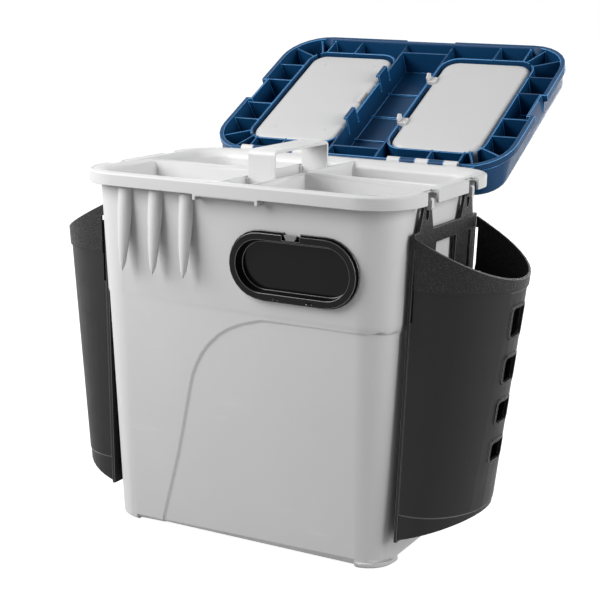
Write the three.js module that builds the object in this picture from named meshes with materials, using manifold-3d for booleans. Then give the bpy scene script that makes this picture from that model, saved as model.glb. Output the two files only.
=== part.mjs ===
// A fishing seat box: a tapered tub with a lift-out tray, a ribbed seat lid with two hatch flaps,
// a small front hatch and two side pockets that hang on the rim.
// Units are millimetres, +Z is up, the front faces -Y and the origin is the middle of the standing plane.

import * as THREE from 'three';
import { mergeVertices } from 'three/addons/utils/BufferGeometryUtils.js';
import Module from 'manifold-3d';

const wasm = await Module();
wasm.setup();

// Driving dimensions

const gap = 0.3;
const overrun = 20;
const weldDistance = 1e-4;
const cornerSteps = 7;
const roundSteps = 16;

// The rim sets the plan of the box: the lid, the tray and both hinges take their size and place from it.
const rim = {
  width: 390, depth: 275, top: 402, corner: 55, skirt: 14, skirtWall: 3, plate: 4.5,
  overhang: 13, topBevel: 1.5, land: 4, ledge: 2.2,
};
const tub = {
  sideTaper: 10.5, frontTaper: 29, baseCorner: 34, wall: 3.2, floor: 3.5, lift: 3,
  baseBevel: 4, step: 1, stepHeight: 263, stepRise: 1.2,
};
const foot = { length: 34, depth: 40, padRadius: 22 };
const arch = { recess: 1.5, height: 260 };
const flute = { halfWidth: 8.3, proud: 7, length: 92, endInset: 52, pitch: 38.5, count: 3 };
const strike = { width: 77, drop: 2, nub: 3.2, nubDrop: 6 };
const notch = { width: 27, spacing: 109, depth: 9.3 };
const lug = {
  width: 6, reach: 12.5, noseStart: 8.3, drop: 6, rootRise: 1, noseRise: 6.3, heel: 3, roundSteps: 5,
};

const hinge = { out: 2, rise: 0.8, radius: 4.5, pinRadius: 2, openDegrees: 152.5, clearance: 0.5 };
const knuckle = { endInset: 7, pitch: 35.5, width: 16, count: 3, webDepth: 6, webHeight: 6, endGap: 0.4 };

const lid = {
  back: 2, cornerTrim: 1, lip: 3, lipHeight: 9, lipBevel: 1.2, wall: 2.6,
  height: 36, plate: 3, sideLean: 5.6, frontLean: 5, backFlare: 8.5, topCorner: 34, topInset: 2.5,
  topBevelHeight: 5, sideNotch: 45, sideNotchDepth: 4.5, frontNotch: 67, ribStart: 3, rib: 1.8, wallStart: 4,
};
const opening = { sideMargin: 40.8, channelHalf: 33.2, endMargin: 34, clearance: 2, wall: 2.2 };
const channel = { backEnd: 27, frontEnd: 23, ribHeight: 2.2, ribSpacing: 54 };
const sideRib = { inner: 28.5, outer: 66.5 };
const endRib = { inner: 97, outer: 137 };
const fanAngles = [27, 63];

const flap = {
  corner: 20, underside: 5.5, wall: 2.2, floor: 2.4, cover: 2.7,
  coverBevel: 2, edgeRound: 7, edgeShoulder: 2.5, pinInset: 4.6, pinDrop: 4.6, pinRadius: 1.8,
  pinLength: 20, pinEmbed: 9, bossWall: 2.4, swingRadius: 7.5, swingEnd: 2.3,
};
const bump = { radius: 2.6, height: 0.7, insetX: 24, insetY: 26 };
const catchHook = { width: 26, spacing: 100, rise: 9, nose: 2.6, noseHeight: 2.6, slot: 1.6, slotEnd: 17 };
const clip = {
  width: 12, spacing: 96, reach: 4.2, start: 2.2, thickness: 5, root: 6, paddle: 2, paddleDrop: 9,
  paddlePoint: 4, clearance: 1,
};
const ledge = { width: 24, inset: 3.4, reach: 5, start: 2.6 };

const tray = {
  inset: 19, draft: 2.5, drop: 44, wall: 2.2, floor: 2.2,
  flange: 1.8, flangeClearance: 0.3, dividerDrop: 1.5, divider: 2.2,
};
const well = { width: 36, drop: 18, rib: 1.6, ribReach: 3, ribDrop: 3 };
const handle = { width: 32, span: 124, rise: 27, thickness: 3.4, bend: 6, clearance: 0.4 };

const hatch = {
  inset: 110, drop: 69, flangeWidth: 150, flangeHeight: 75, flange: 2, border: 4.2,
  sleeveWall: 2, sleeveDepth: 8, ringDepth: 2.6, ringWidth: 2, notchWidth: 18, notchDepth: 3.2,
};
const door = {
  inset: 2, front: 6.2, seat: 2.5, clearance: 1, depth: 7, sideDraft: 2, topDraft: 3.6, baseDraft: 0.6,
  wall: 2, hingeInset: 3.3, hingeOut: 4.5, pinRadius: 1, pinLength: 50, earStart: 17, earWidth: 5,
  earReach: 1.5, notchWidth: 20,
};
const tongue = { width: 15, tip: 9.5, top: 1.6, clearance: 0.6, thickness: 4.6 };

// Heights of the pocket and its hanger: rises and drops are from the shoulder, the others from the floor.
const pocket = {
  halfWidth: 83, wall: 2.6, standoff: 4, plate: 3.5, bottomDepth: 71, topDepth: 96,
  backDrop: 27, frontDrop: 72, backBottom: 33, frontBottom: 58.6, bandDrop: 84, band: 1.6,
  hemHeight: 64, hem: 0.8, slitTopDrop: 43, slitBottomDrop: 118, slit: 2.4, arcSteps: 22,
};
const hanger = {
  bar: 16, armWidth: 34, armTopWidth: 19, armWaist: 3, armRise: 5, slotWidth: 7.2, slotDrop: 17,
  slotPoint: 4, window: 54, outerStrip: 14, slitStrip: 8, sill: 26,
};
const vent = { width: 31, border: 3, proud: 1.4, corner: 4, cornerSteps: 3, heights: [31, 26.5, 23, 20] };

// The middles of the vents, as shares of the pocket's front from its foot to its mouth.
const ventShares = [0.819, 0.619, 0.4385, 0.2675];

// The arch in the front face, as shares of half the tub's width and of the arch's height.
const archShares = [
  [-0.585, -0.1], [-0.56, 0.05], [-0.5, 0.2], [-0.442, 0.34], [-0.4, 0.46], [-0.359, 0.584],
  [-0.335, 0.66], [-0.312, 0.72], [-0.277, 0.775], [-0.24, 0.82], [-0.19, 0.865], [-0.12, 0.912],
  [-0.047, 0.945], [0.028, 0.969], [0.1, 0.985], [0.165, 0.998], [0.2, 1],
];

// Derived sizes

const shoulder = rim.top - rim.skirt;
const bodyTopHalfWidth = rim.width / 2 - rim.overhang;
const bodyTopHalfDepth = rim.depth / 2 - rim.overhang;
const bodyTopCorner = rim.corner - rim.overhang;
const sideLean = Math.atan2(tub.sideTaper, shoulder);
const frontLean = Math.atan2(tub.frontTaper, shoulder);
const innerInset = tub.step + tub.wall;
const ledgeHeight = rim.top - rim.ledge;
const hingeY = rim.depth / 2 + hinge.out;
const hingeZ = rim.top + hinge.rise;
const lidOpen = THREE.MathUtils.degToRad(hinge.openDegrees);
const lidWidth = rim.width;
const lidDepth = rim.depth;
const lidCorner = rim.corner - lid.cornerTrim;
const lidCentreY = lid.back - lidDepth / 2;
const skirtWidth = lidWidth - lid.lip * 2;
const skirtDepth = lidDepth - lid.lip * 2;
const ringWidth = lidWidth / 2 - opening.sideMargin - opening.channelHalf;
const ringLength = lidDepth - opening.endMargin * 2;
const ringCorner = flap.corner + opening.clearance;
const openingX = opening.channelHalf + ringWidth / 2;
const wallOuter = opening.channelHalf - opening.wall;
const flapWidth = ringWidth - opening.clearance * 2;
const flapLength = ringLength - opening.clearance * 2;
const flapAxisX = flapWidth / 2 - flap.pinInset;
const flapAxisZ = lid.height - flap.pinDrop;
const pocketBack = pocket.standoff + pocket.plate + gap;
const pocketBackTop = shoulder - pocket.backDrop;
const pocketFrontTop = shoulder - pocket.frontDrop;
const pocketBandHeight = shoulder - pocket.bandDrop;

// Materials

function finish(colour, roughness, metalness) {
  return new THREE.MeshStandardMaterial({ color: colour, roughness, metalness });
}

const palette = {
  tub: () => finish(0xd6d7d8, 0.5, 0),
  tray: () => finish(0xdfe0e0, 0.48, 0),
  flap: () => finish(0xd2d3d3, 0.45, 0),
  lid: () => finish(0x17406e, 0.4, 0),
  pocket: () => finish(0x222324, 0.6, 0),
  hatch: () => finish(0x141516, 0.25, 0),
  pin: () => finish(0xb9bcc0, 0.3, 1),
};

// Solids and geometries

function solid(geometry) {
  const bare = geometry.clone();
  bare.deleteAttribute('normal');
  bare.deleteAttribute('uv');
  const merged = mergeVertices(bare, weldDistance);
  return new wasm.Manifold(new wasm.Mesh({
    numProp: 3,
    vertProperties: new Float32Array(merged.attributes.position.array),
    triVerts: new Uint32Array(merged.index.array),
  }));
}

function geometryOf(manifold) {
  const mesh = manifold.getMesh();
  const geometry = new THREE.BufferGeometry();
  geometry.setAttribute('position', new THREE.BufferAttribute(mesh.vertProperties, 3));
  geometry.setIndex(new THREE.BufferAttribute(mesh.triVerts, 1));
  geometry.computeVertexNormals();
  return geometry;
}

function joined(solids) {
  return solids.reduce((whole, next) => whole.add(next));
}

function block(x0, x1, y0, y1, z0, z1) {
  const geometry = new THREE.BoxGeometry(x1 - x0, y1 - y0, z1 - z0);
  return solid(geometry.translate((x0 + x1) / 2, (y0 + y1) / 2, (z0 + z1) / 2));
}

function roundedOutline(width, depth, corner, steps = cornerSteps) {
  const points = [];
  const quarters = [[1, -1, -90], [1, 1, 0], [-1, 1, 90], [-1, -1, 180]];
  for (const [signX, signY, start] of quarters) {
    const centreX = signX * (width / 2 - corner);
    const centreY = signY * (depth / 2 - corner);
    for (let i = 0; i <= steps; i += 1) {
      const angle = THREE.MathUtils.degToRad(start + (90 * i) / steps);
      points.push(new THREE.Vector2(centreX + corner * Math.cos(angle), centreY + corner * Math.sin(angle)));
    }
  }
  return points;
}

// A closed skin through outlines of equal length, each at its own height, from the bottom up.
function loft(levels) {
  const count = levels[0].outline.length;
  const positions = [];
  const index = [];
  for (const { outline, z } of levels) {
    for (const point of outline) positions.push(point.x, point.y, z);
  }
  for (let level = 0; level < levels.length - 1; level += 1) {
    for (let i = 0; i < count; i += 1) {
      const a = level * count + i;
      const b = level * count + ((i + 1) % count);
      index.push(a, b, b + count, a, b + count, a + count);
    }
  }
  const last = (levels.length - 1) * count;
  for (const [a, b, c] of THREE.ShapeUtils.triangulateShape(levels[0].outline, [])) index.push(c, b, a);
  for (const [a, b, c] of THREE.ShapeUtils.triangulateShape(levels[levels.length - 1].outline, [])) {
    index.push(last + a, last + b, last + c);
  }
  const geometry = new THREE.BufferGeometry();
  geometry.setAttribute('position', new THREE.Float32BufferAttribute(positions, 3));
  geometry.setIndex(index);
  return solid(geometry);
}

function slab(outline, z0, z1) {
  return loft([{ outline, z: z0 }, { outline, z: z1 }]);
}

// An outline drawn in the X-Z plane and drawn out along Y, or in the Y-Z plane and drawn out along X.
function drawnAlongY(points, y0, y1) {
  const shape = new THREE.Shape(points);
  const geometry = new THREE.ExtrudeGeometry(shape, { depth: y1 - y0, bevelEnabled: false });
  return solid(geometry.rotateX(Math.PI / 2).translate(0, y1, 0));
}

function drawnAlongX(points, x0, x1) {
  const shape = new THREE.Shape(points);
  const geometry = new THREE.ExtrudeGeometry(shape, { depth: x1 - x0, bevelEnabled: false });
  return solid(geometry.rotateX(Math.PI / 2).rotateZ(Math.PI / 2).translate(x0, 0, 0));
}

function rodAlongX(radius, x0, x1, y, z, steps = roundSteps) {
  const geometry = new THREE.CylinderGeometry(radius, radius, x1 - x0, steps);
  return solid(geometry.rotateZ(Math.PI / 2).translate((x0 + x1) / 2, y, z));
}

function rodAlongY(radius, y0, y1, x, z, steps = roundSteps) {
  const geometry = new THREE.CylinderGeometry(radius, radius, y1 - y0, steps);
  return solid(geometry.translate(x, (y0 + y1) / 2, z));
}

function rodAlongZ(radius, z0, z1, x, y, steps = roundSteps) {
  const geometry = new THREE.CylinderGeometry(radius, radius, z1 - z0, steps);
  return solid(geometry.rotateX(Math.PI / 2).translate(x, y, (z0 + z1) / 2));
}

function ordered(a, b) {
  return a < b ? [a, b] : [b, a];
}

function part(name, geometry, material) {
  const mesh = new THREE.Mesh(geometry, material);
  mesh.name = name;
  return mesh;
}

function moved(outline, x, y) {
  return outline.map((point) => new THREE.Vector2(point.x + x, point.y + y));
}

function stadium(width, height, steps = cornerSteps) {
  return roundedOutline(width, height, height / 2, steps);
}

// Tub

function tubOutline(z, inset) {
  const fall = 1 - z / shoulder;
  const width = (bodyTopHalfWidth - tub.sideTaper * fall - inset) * 2;
  const depth = (bodyTopHalfDepth - tub.frontTaper * fall - inset) * 2;
  const corner = bodyTopCorner + (tub.baseCorner - bodyTopCorner) * fall - inset;
  return roundedOutline(width, depth, corner);
}

function tubSkin(extraInset) {
  const low = tub.step + extraInset;
  return loft([
    { outline: tubOutline(tub.lift, low + tub.baseBevel), z: tub.lift },
    { outline: tubOutline(tub.lift + tub.baseBevel, low), z: tub.lift + tub.baseBevel },
    { outline: tubOutline(tub.stepHeight, low), z: tub.stepHeight },
    { outline: tubOutline(tub.stepHeight + tub.stepRise, extraInset), z: tub.stepHeight + tub.stepRise },
    { outline: tubOutline(rim.top - rim.topBevel, extraInset), z: rim.top - rim.topBevel },
  ]);
}

function tubHollow() {
  const low = tub.lift + tub.floor;
  return loft([
    { outline: tubOutline(low, innerInset + tub.baseBevel), z: low },
    { outline: tubOutline(low + tub.baseBevel, innerInset), z: low + tub.baseBevel },
    { outline: tubOutline(rim.top + overrun, innerInset), z: rim.top + overrun },
  ]);
}

function tubFeet() {
  const footTop = tub.lift + tub.baseBevel;
  const skirting = loft([
    { outline: tubOutline(0, tub.step + tub.baseBevel), z: 0 },
    { outline: tubOutline(tub.lift, tub.step), z: tub.lift },
    { outline: tubOutline(footTop, tub.step), z: footTop },
  ]);
  const halfWidth = bodyTopHalfWidth - tub.sideTaper;
  const halfDepth = bodyTopHalfDepth - tub.frontTaper;
  const corners = [];
  for (const signX of [-1, 1]) {
    for (const signY of [-1, 1]) {
      const x = ordered(signX * (halfWidth - foot.length), signX * (halfWidth + overrun));
      const y = ordered(signY * (halfDepth - foot.depth), signY * (halfDepth + overrun));
      corners.push(block(x[0], x[1], y[0], y[1], -overrun, footTop));
    }
  }
  return skirting.intersect(joined(corners)).add(rodAlongZ(foot.padRadius, 0, footTop, 0, 0));
}

function rimRing() {
  const outer = (inset) => roundedOutline(rim.width - inset * 2, rim.depth - inset * 2, rim.corner - inset);
  const full = loft([
    { outline: outer(0), z: shoulder },
    { outline: outer(0), z: rim.top - rim.topBevel },
    { outline: outer(rim.topBevel), z: rim.top },
  ]);
  const under = slab(outer(rim.skirtWall), shoulder - overrun, rim.top - rim.plate);
  return full.subtract(under);
}

// The skirt is deeper in the middle of the front, between two small nubs.
function strikeSection() {
  const face = rim.depth / 2;
  const half = strike.width / 2;
  const low = shoulder - strike.drop;
  const drop = block(-half, half, -face, -face + rim.skirtWall, low, shoulder + rim.skirtWall);
  const nubs = [-1, 1].map((sign) => {
    const x = ordered(sign * half, sign * (half - strike.nub));
    return block(x[0], x[1], -face, -bodyTopHalfDepth, shoulder - strike.nubDrop, rim.top - rim.plate / 2);
  });
  return joined([drop, ...nubs]);
}

// Notches through the sides of the rim for the arms of the hangers; the tray's flange has them too.
function notchCuts(margin) {
  const cuts = [];
  const half = notch.width / 2 + margin;
  for (const signX of [-1, 1]) {
    const inner = rim.width / 2 - notch.depth - margin;
    const x = ordered(signX * inner, signX * (rim.width / 2 + overrun));
    for (const signY of [-1, 1]) {
      const y = (signY * notch.spacing) / 2;
      cuts.push(block(x[0], x[1], y - half, y + half, shoulder - overrun, rim.top + overrun));
    }
  }
  return joined(cuts);
}

const lugRootTop = shoulder + lug.rootRise;

function arcPoints(x, z, radius, from, to) {
  const points = [];
  for (let i = 0; i <= lug.roundSteps; i += 1) {
    const angle = THREE.MathUtils.degToRad(from + ((to - from) * i) / lug.roundSteps);
    points.push([x + radius * Math.cos(angle), z + radius * Math.sin(angle)]);
  }
  return points;
}

function hangerLugs() {
  const inside = bodyTopHalfWidth - tub.wall;
  const low = shoulder - lug.drop;
  const tip = bodyTopHalfWidth + lug.reach;
  const start = bodyTopHalfWidth + lug.noseStart;
  const nose = (tip - start) / 2;
  const profile = [
    [inside, low],
    ...arcPoints(tip - lug.heel, low + lug.heel, lug.heel, -90, 0),
    ...arcPoints(start + nose, shoulder + lug.noseRise - nose, nose, 0, 180),
    [start, lugRootTop], [inside, lugRootTop],
  ];
  const lugs = [];
  for (const signX of [-1, 1]) {
    const points = profile.map(([x, z]) => new THREE.Vector2(signX * x, z));
    for (const signY of [-1, 1]) {
      const y = (signY * notch.spacing) / 2;
      lugs.push(drawnAlongY(points, y - lug.width / 2, y + lug.width / 2));
    }
  }
  return joined(lugs);
}

function archCut() {
  const points = archShares.map(([x, z]) => new THREE.Vector2(x * bodyTopHalfWidth, z * arch.height));
  points.push(new THREE.Vector2(bodyTopHalfWidth + overrun, arch.height));
  points.push(new THREE.Vector2(bodyTopHalfWidth + overrun, archShares[0][1] * arch.height));
  const region = drawnAlongY(points, -rim.depth, rim.depth);
  return region.subtract(tubSkin(arch.recess));
}

// Rounded flutes that grow out of the front wall and run up under the rim.
function flutes() {
  const firstX = flute.endInset - bodyTopHalfWidth;
  const ribs = [];
  for (let i = 0; i < flute.count; i += 1) {
    const geometry = new THREE.SphereGeometry(flute.halfWidth, roundSteps, cornerSteps * 2);
    geometry.scale(1, flute.proud / flute.halfWidth, flute.length / flute.halfWidth).rotateX(-frontLean);
    ribs.push(solid(geometry.translate(firstX + flute.pitch * i, -bodyTopHalfDepth, shoulder)));
  }
  const top = rim.top + flute.length;
  const above = block(-rim.width, rim.width, -rim.depth, rim.depth, shoulder + rim.skirtWall, top);
  return joined(ribs).subtract(above);
}

function knuckleCentres(first, count) {
  const centres = [];
  for (let i = 0; i < count; i += 1) {
    centres.push(first + knuckle.pitch * i, -first - knuckle.pitch * i);
  }
  return centres;
}

const lastKnuckle = rim.width / 2 - rim.corner - knuckle.endInset;
const firstKnuckle = lastKnuckle - knuckle.pitch * (knuckle.count - 1);
const tubKnuckles = knuckleCentres(firstKnuckle, knuckle.count);
const lidKnuckles = knuckleCentres(firstKnuckle + knuckle.pitch / 2, knuckle.count - 1);
const lidKnuckleWidth = knuckle.pitch - knuckle.width - knuckle.endGap * 2;
const pinStart = firstKnuckle - knuckle.width / 2;
const pinEnd = lastKnuckle + knuckle.width / 2;
const boreRadius = hinge.pinRadius + gap;

function tubHinge() {
  const knuckles = tubKnuckles.map((x) => {
    const half = knuckle.width / 2;
    const barrel = rodAlongX(hinge.radius, x - half, x + half, hingeY, hingeZ);
    const web = block(
      x - half, x + half, hingeY - knuckle.webDepth, hingeY,
      hingeZ - knuckle.webHeight, hingeZ - hinge.pinRadius,
    );
    return barrel.add(web);
  });
  return joined(knuckles);
}

function hingeRelief(centres, width, y, z) {
  const radius = hinge.radius + hinge.clearance;
  const half = width / 2 + knuckle.endGap;
  return joined(centres.map((x) => rodAlongX(radius, x - half, x + half, y, z)));
}

function tubSolid() {
  const ledge = slab(
    roundedOutline(rim.width - rim.land * 2, rim.depth - rim.land * 2, rim.corner - rim.land),
    ledgeHeight, rim.top + overrun,
  );
  const window = hatchPlaced(slab(stadium(wallHoleWidth, wallHoleHeight), -overrun, overrun));
  const upper = rimRing().add(strikeSection()).subtract(notchCuts(0));
  return tubSkin(0)
    .subtract(archCut())
    .add(flutes())
    .add(tubFeet())
    .add(upper)
    .add(hangerLugs())
    .subtract(hingeRelief(lidKnuckles, lidKnuckleWidth, hingeY, hingeZ))
    .add(tubHinge())
    .subtract(tubHollow())
    .subtract(ledge)
    .subtract(window)
    .subtract(rodAlongX(boreRadius, -rim.width, rim.width, hingeY, hingeZ));
}

// Front hatch: a frame clipped through the front wall, a ring behind it and a dished door

const hatchX = bodyTopHalfWidth - hatch.inset;
const hatchZ = shoulder - hatch.drop;
const hatchWallY = -(bodyTopHalfDepth - tub.frontTaper * (1 - hatchZ / shoulder));
const hatchTurn = new THREE.Matrix4().makeRotationX(Math.PI / 2 + frontLean);
const hatchPlace = new THREE.Matrix4().makeTranslation(hatchX, hatchWallY, hatchZ).multiply(hatchTurn);

function hatchPlaced(manifold) {
  return solid(geometryOf(manifold).applyMatrix4(hatchPlace));
}

const wallHoleWidth = hatch.flangeWidth - hatch.border * 2;
const wallHoleHeight = hatch.flangeHeight - hatch.border * 2;
const sleeveWidth = wallHoleWidth - gap * 2;
const sleeveHeight = wallHoleHeight - gap * 2;
const hatchHoleWidth = sleeveWidth - hatch.sleeveWall * 2;
const hatchHoleHeight = sleeveHeight - hatch.sleeveWall * 2;
const hatchHingeY = door.hingeInset - hatch.flangeHeight / 2;
const tongueBase = hatchHoleHeight / 2 - door.clearance + tongue.clearance;
const earStarts = [door.earStart, -door.earStart - door.earWidth];

function hatchEars(margin) {
  const y0 = hatchHingeY - door.earReach - margin * 2;
  const y1 = hatchHingeY + door.earReach + margin;
  const front = door.hingeOut + door.earReach + margin * 2;
  return joined(earStarts.map((x) => (
    block(x - margin, x + door.earWidth + margin, y0, y1, hatch.flange / 2, front)
  )));
}

function hatchFrameSolid() {
  const bore = rodAlongX(
    door.pinRadius + gap, -hatch.flangeWidth, hatch.flangeWidth, hatchHingeY, door.hingeOut,
  );
  const top = hatch.flangeHeight / 2;
  const dip = block(
    -hatch.notchWidth / 2, hatch.notchWidth / 2, top - hatch.notchDepth, top + overrun, -overrun, overrun,
  );
  return slab(stadium(hatch.flangeWidth, hatch.flangeHeight), gap, hatch.flange)
    .subtract(dip)
    .add(slab(stadium(sleeveWidth, sleeveHeight), -hatch.sleeveDepth, hatch.flange))
    .add(hatchEars(0))
    .subtract(slab(stadium(hatchHoleWidth, hatchHoleHeight), -overrun, overrun))
    .subtract(bore);
}

function hatchRingSolid() {
  const back = -innerInset - gap * 2;
  const outer = stadium(wallHoleWidth + hatch.ringWidth * 2, wallHoleHeight + hatch.ringWidth * 2);
  return slab(outer, back - hatch.ringDepth, back)
    .subtract(slab(stadium(wallHoleWidth, wallHoleHeight), -overrun, overrun));
}

// The tongue stands on the frame, in a notch of the door, and narrows towards the dish.
function hatchTongueSolid() {
  const top = hatch.flangeHeight / 2 - tongue.top;
  const outline = [
    [-tongue.tip, tongueBase], [tongue.tip, tongueBase], [tongue.width, top], [-tongue.width, top],
  ].map(([x, y]) => new THREE.Vector2(x / 2, y));
  const low = hatch.flange + gap;
  return slab(outline, low, low + tongue.thickness);
}

// The dish narrows towards its floor, most at the top, where its deep edge swings up as the door opens.
function doorOutline(inset, share) {
  const width = hatchHoleWidth - (door.clearance + inset + door.sideDraft * share) * 2;
  const height = hatchHoleHeight - (door.clearance + inset) * 2 - (door.topDraft + door.baseDraft) * share;
  return moved(stadium(width, height), 0, ((door.baseDraft - door.topDraft) / 2) * share);
}

function hatchDoorSolid() {
  const width = hatch.flangeWidth - door.inset * 2;
  const height = hatch.flangeHeight - door.inset * 2;
  const dish = loft([
    { outline: doorOutline(0, 1), z: -door.depth },
    { outline: doorOutline(0, 0), z: door.seat },
    { outline: doorOutline(0, 0), z: (door.seat + door.front) / 2 },
  ]);
  const hollow = loft([
    { outline: doorOutline(door.wall, 1), z: -door.depth + door.wall },
    { outline: doorOutline(door.wall, 0), z: door.seat },
    { outline: doorOutline(door.wall, 0), z: overrun },
  ]);
  const grip = block(
    -door.notchWidth / 2, door.notchWidth / 2, tongueBase - gap, height, door.seat - gap, overrun,
  );
  const end = door.pinLength / 2 + gap;
  return slab(stadium(width, height), door.seat, door.front)
    .add(dish)
    .subtract(hollow)
    .subtract(grip)
    .subtract(hatchEars(gap * 3))
    .subtract(rodAlongX(door.pinRadius + gap, -end, end, hatchHingeY, door.hingeOut));
}

// Tray and its handle

const trayBottom = rim.top - tray.drop;
const trayTop = ledgeHeight + gap + tray.flange;
const trayHalfWidth = rim.width / 2 - tray.inset;
const trayHalfDepth = rim.depth / 2 - tray.inset;
const dividerTop = rim.top - tray.dividerDrop;
const wellFloor = rim.top - well.drop;

function trayOutline(inset) {
  const corner = rim.corner - tray.inset - inset;
  return roundedOutline((trayHalfWidth - inset) * 2, (trayHalfDepth - inset) * 2, corner);
}

function traySolid() {
  const trim = rim.land + tray.flangeClearance;
  const flange = slab(
    roundedOutline(rim.width - trim * 2, rim.depth - trim * 2, rim.corner - trim),
    ledgeHeight + gap, trayTop,
  );
  const notched = flange.subtract(notchCuts(tray.flangeClearance));
  const body = loft([
    { outline: trayOutline(tray.draft), z: trayBottom },
    { outline: trayOutline(0), z: trayTop },
  ]);
  const cavity = loft([
    { outline: trayOutline(tray.draft + tray.wall), z: trayBottom + tray.floor },
    { outline: trayOutline(tray.wall), z: trayTop + overrun },
  ]);
  const wallX = well.width / 2;
  const coreX = wallX + tray.divider;
  const half = tray.divider / 2;
  const divider = block(-trayHalfWidth, trayHalfWidth, -half, half, trayBottom, dividerTop);
  const core = block(-coreX, coreX, -trayHalfDepth, trayHalfDepth, trayBottom, dividerTop);
  const wellSpace = block(-wallX, wallX, -trayHalfDepth, trayHalfDepth, wellFloor, trayTop + overrun);
  const underY = trayHalfDepth - tray.draft - tray.wall * 2;
  const under = block(-wallX, wallX, -underY, underY, trayBottom - overrun, wellFloor - tray.floor);
  const inside = divider.add(core).subtract(wellSpace).add(wellRibs());
  return body.add(notched).subtract(cavity.subtract(inside)).subtract(under);
}

function wellRibs() {
  const ribs = [];
  const legMiddle = handle.span / 2 - handle.thickness / 2;
  const offset = handle.thickness / 2 + handle.clearance;
  const top = rim.top - well.ribDrop;
  for (const sign of [-1, 1]) {
    const x = ordered(sign * (well.width / 2 - well.ribReach), sign * (well.width / 2 + tray.divider / 2));
    for (const middle of [-legMiddle, legMiddle]) {
      ribs.push(block(x[0], x[1], middle + offset, middle + offset + well.rib, trayBottom, top));
      ribs.push(block(x[0], x[1], middle - offset - well.rib, middle - offset, trayBottom, top));
    }
  }
  return joined(ribs);
}

function handleSolid() {
  const bow = (inset) => {
    const half = handle.span / 2 - inset;
    const top = rim.top + handle.rise - inset;
    const bend = handle.bend - inset;
    const shape = new THREE.Shape();
    shape.moveTo(-half, wellFloor + gap);
    shape.lineTo(half, wellFloor + gap);
    shape.absarc(half - bend, top - bend, bend, 0, Math.PI / 2, false);
    shape.absarc(-half + bend, top - bend, bend, Math.PI / 2, Math.PI, false);
    return shape.getPoints(cornerSteps);
  };
  const outer = drawnAlongX(bow(0), -handle.width / 2, handle.width / 2);
  const inner = drawnAlongX(bow(handle.thickness), -handle.width, handle.width);
  const feet = block(
    -handle.width, handle.width, -handle.span / 2 + handle.thickness, handle.span / 2 - handle.thickness,
    -overrun, wellFloor + handle.bend,
  );
  return outer.subtract(inner).subtract(feet);
}

// Lid, in its own frame: the hinge axis is the origin and the lid is shut, reaching towards -Y

function lidOutline(inset) {
  return moved(roundedOutline(lidWidth - inset * 2, lidDepth - inset * 2, lidCorner - inset), 0, lidCentreY);
}

// The skirt's outline on the way up, with share 0 at its foot and 1 at the top plate:
// it leans in at the front and sides and flares out over the hinge.
function skirtOutline(share, inset) {
  const side = lid.lip + lid.sideLean * share + inset;
  const front = lid.lip + lid.frontLean * share + inset;
  const back = lid.lip - lid.backFlare * share + inset;
  const corner = lidCorner - lid.lip + (lid.topCorner - lidCorner + lid.lip) * share - inset;
  const depth = lidDepth - front - back;
  return moved(roundedOutline(lidWidth - side * 2, depth, corner), 0, lid.back - back - depth / 2);
}

const skirtTop = lid.height - lid.topBevelHeight;

function skirtSpace(inset, z0, z1) {
  const level = (z) => ({ outline: skirtOutline(z / skirtTop, inset), z });
  return loft([level(z0), level(z1)]);
}

function lidShell() {
  const lip = loft([
    { outline: lidOutline(0), z: 0 },
    { outline: lidOutline(0), z: lid.lipHeight - lid.lipBevel },
    { outline: lidOutline(lid.lipBevel), z: lid.lipHeight },
  ]);
  const half = lid.sideNotch / 2;
  const sides = [-1, 1].map((sign) => {
    const x = ordered(sign * (skirtWidth / 2), sign * (lidWidth / 2 + overrun));
    return block(x[0], x[1], lidCentreY - half, lidCentreY + half, -overrun, overrun);
  });
  const frontY = lidCentreY - skirtDepth / 2;
  const front = block(-lid.frontNotch / 2, lid.frontNotch / 2, frontY - overrun, frontY, -overrun, overrun);
  const shell = loft([
    { outline: skirtOutline(0, 0), z: 0 },
    { outline: skirtOutline(1, 0), z: skirtTop },
    { outline: skirtOutline(1, lid.topInset / 3), z: lid.height - lid.topBevelHeight / 3 },
    { outline: skirtOutline(1, lid.topInset), z: lid.height },
  ]);
  const top = lid.height - lid.plate;
  return lip.subtract(joined([...sides, front]))
    .add(shell)
    .subtract(skirtSpace(lid.wall, -overrun, skirtTop))
    .subtract(slab(skirtOutline(1, lid.wall), skirtTop, top));
}

// A hollow in each side of the skirt, below the seat, for the fingers that lift the lid.
function lidSideHollows() {
  const half = lid.sideNotch / 2;
  const face = skirtWidth / 2 - lid.sideNotchDepth;
  const cuts = [];
  const walls = [];
  for (const sign of [-1, 1]) {
    const out = ordered(sign * face, sign * (lidWidth / 2 + overrun));
    cuts.push(block(out[0], out[1], lidCentreY - half, lidCentreY + half, -overrun, skirtTop - lid.plate));
    const wall = ordered(sign * (face - lid.wall), sign * (skirtWidth / 2));
    const end = half + lid.wall;
    walls.push(block(wall[0], wall[1], lidCentreY - end, lidCentreY + end, 0, lid.height - lid.plate / 2));
  }
  return { cuts: joined(cuts), walls: joined(walls).intersect(skirtSpace(lid.wall / 2, 0, lid.height)) };
}

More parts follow.
